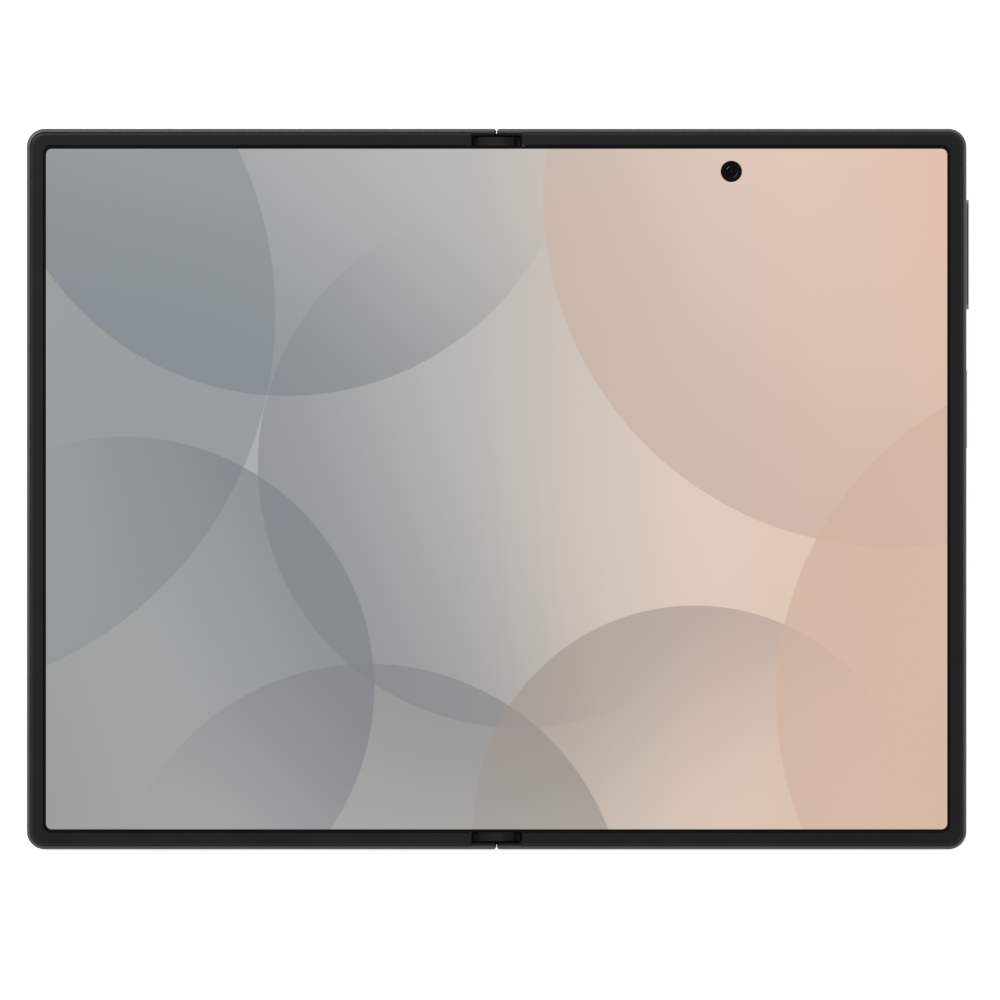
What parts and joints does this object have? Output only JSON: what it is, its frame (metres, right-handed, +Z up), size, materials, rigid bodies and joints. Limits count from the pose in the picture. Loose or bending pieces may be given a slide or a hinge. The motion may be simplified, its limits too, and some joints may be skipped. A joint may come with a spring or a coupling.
{
  "type": "foldable smartphone",
  "caption": "Book-style folding phone lying open: a large inner display over a geared two-axis hinge, keys on the right edge, a camera island behind.",
  "frame": {"origin": "middle of the open phone in plan, on the surface that its rear camera rings stand on", "axes": "+X across the open phone towards the half with the keys, +Y along the hinge towards the phone's top edge, +Z up out of the inner display"},
  "size_m": [0.1619, 0.1238, 0.0073],
  "materials": {
    "frame_metal": "fine bead-blasted and anodised, dark grey",
    "rim_polymer": "satin black",
    "display_stack": "lit display under a polished polymer film",
    "steel_plate": "rolled stainless sheet",
    "cover_glass": "polished, black printed behind",
    "rear_glass": "etched satin glass, coloured behind",
    "display_panel": "laminated panel",
    "camera_black": "black lens barrel and module",
    "lens_glass": "coated lens window",
    "ring_metal": "turned and anodised",
    "led_lens": "clear yellowish lens",
    "battery_pouch": "laminated foil pouch",
    "circuit_board": "solder mask",
    "black_polymer": "moulded",
    "motor_can": "drawn steel can",
    "sheet_steel": "stamped steel",
    "magnet_nickel": "nickel plated",
    "break_polymer": "insert moulded and polished flush",
    "screw_steel": "machine screw",
    "hinge_steel": "metal injection moulded steel",
    "spine_metal": "anodised",
    "gear_steel": "sintered and bronze coloured",
    "spring_steel": "music wire",
    "flex_polyimide": "polyimide film over copper",
    "copper_coil": "enamelled copper"
  },
  "bodies": {
    "spine": {"spine_cover": "spine_metal", "hinge_base_upper": "hinge_steel", "hinge_base_lower": "hinge_steel", "hinge_caps": "rim_polymer", "centre_rail": "steel_plate", "display_fold": "display_stack", "fold_backplate": "steel_plate", "hinge_flex_cables": "flex_polyimide", "cam_followers": "hinge_steel", "hinge_springs": "spring_steel"},
    "left_half": {"frame_left": "frame_metal", "rim_left": "rim_polymer", "display_left": "display_stack", "cover_glass": "cover_glass", "cover_panel": "display_panel", "cover_camera": "camera_black", "battery_left": "battery_pouch", "sub_board_left": "circuit_board", "speaker_left": "black_polymer", "vibration_motor": "motor_can", "sim_reader": "sheet_steel", "magnets_left": "magnet_nickel", "antenna_breaks_left": "break_polymer", "arm_screws_left": "screw_steel", "rotary_arm_left_upper": "hinge_steel", "rotary_arm_left_lower": "hinge_steel"},
    "right_half": {"frame_right": "frame_metal", "rim_right": "rim_polymer", "display_right": "display_stack", "rear_glass": "rear_glass", "camera_island": "ring_metal", "camera_rings": "ring_metal", "camera_windows": "lens_glass", "main_camera": "camera_black", "wide_camera": "camera_black", "flash_led": "led_lens", "inner_camera": "camera_black", "main_board": "circuit_board", "battery_right": "battery_pouch", "sub_board_right": "circuit_board", "usb_port": "sheet_steel", "loudspeaker": "black_polymer", "charging_coil": "copper_coil", "magnets_right": "magnet_nickel", "antenna_breaks_right": "break_polymer", "arm_screws_right": "screw_steel", "rotary_arm_right_upper": "hinge_steel", "rotary_arm_right_lower": "hinge_steel", "key_switches": "flex_polyimide"},
    "torsion_left": {"torsion_arm_left_upper": "gear_steel", "torsion_arm_left_lower": "gear_steel"},
    "torsion_right": {"torsion_arm_right_upper": "gear_steel", "torsion_arm_right_lower": "gear_steel"},
    "idler_left": {"idler_gears_left": "gear_steel"},
    "idler_right": {"idler_gears_right": "gear_steel"},
    "left_wing": {"wing_left": "steel_plate"},
    "right_wing": {"wing_right": "steel_plate"},
    "volume_rocker": {"volume_key": "frame_metal"},
    "power_button": {"power_key": "frame_metal"},
    "card_tray": {"sim_tray": "frame_metal"}
  },
  "joints": [
    {"name": "fold_left", "type": "hinge", "parent": "spine", "child": "left_half", "pos_m": [-0.00125, 0, 0.0061], "axis": [0, 1, 0], "range_deg": [0, 90], "deforming": ["display_fold", "fold_backplate", "hinge_flex_cables"]},
    {"name": "fold_right", "type": "hinge", "parent": "spine", "child": "right_half", "pos_m": [0.00125, 0, 0.0061], "axis": [0, 1, 0], "range_deg": [-90, 0]},
    {"name": "torsion_left_turn", "type": "hinge", "parent": "spine", "child": "torsion_left", "pos_m": [-0.00225, 0, 0.0051], "axis": [0, 1, 0], "range_deg": [0, 90]},
    {"name": "torsion_right_turn", "type": "hinge", "parent": "spine", "child": "torsion_right", "pos_m": [0.00225, 0, 0.0051], "axis": [0, 1, 0], "range_deg": [-90, 0]},
    {"name": "idler_left_turn", "type": "hinge", "parent": "spine", "child": "idler_left", "pos_m": [-0.00075, 0, 0.0051], "axis": [0, 1, 0], "range_deg": [-90, 0]},
    {"name": "idler_right_turn", "type": "hinge", "parent": "spine", "child": "idler_right", "pos_m": [0.00075, 0, 0.0051], "axis": [0, 1, 0], "range_deg": [0, 90]},
    {"name": "wing_left_tilt", "type": "hinge", "parent": "left_half", "child": "left_wing", "pos_m": [-0.0075, 0, 0.00625], "axis": [0, 1, 0], "range_deg": [0, 14]},
    {"name": "wing_right_tilt", "type": "hinge", "parent": "right_half", "child": "right_wing", "pos_m": [0.0075, 0, 0.00625], "axis": [0, 1, 0], "range_deg": [-14, 0]},
    {"name": "volume_rock", "type": "hinge", "parent": "right_half", "child": "volume_rocker", "pos_m": [0.0797, 0.0403, 0.00485], "axis": [0, 0, 1], "range_deg": [-1.3, 1.3], "stiffness_Nm_per_rad": 0.3},
    {"name": "power_press", "type": "slide", "parent": "right_half", "child": "power_button", "axis": [-1, 0, 0], "range_m": [0, 0.00015], "stiffness_N_per_m": 8000},
    {"name": "card_tray_slide", "type": "slide", "parent": "left_half", "child": "card_tray", "axis": [0, -1, 0], "range_m": [0, 0.018]}
  ],
  "couplings": [
    {"joint": "fold_right", "follows": "fold_left", "ratio": -1},
    {"joint": "torsion_left_turn", "follows": "fold_left", "ratio": 1},
    {"joint": "torsion_right_turn", "follows": "fold_left", "ratio": -1},
    {"joint": "idler_left_turn", "follows": "fold_left", "ratio": -1},
    {"joint": "idler_right_turn", "follows": "fold_left", "ratio": 1},
    {"joint": "wing_left_tilt", "follows": "fold_left", "ratio": 0.1555},
    {"joint": "wing_right_tilt", "follows": "fold_left", "ratio": -0.1555}
  ]
}
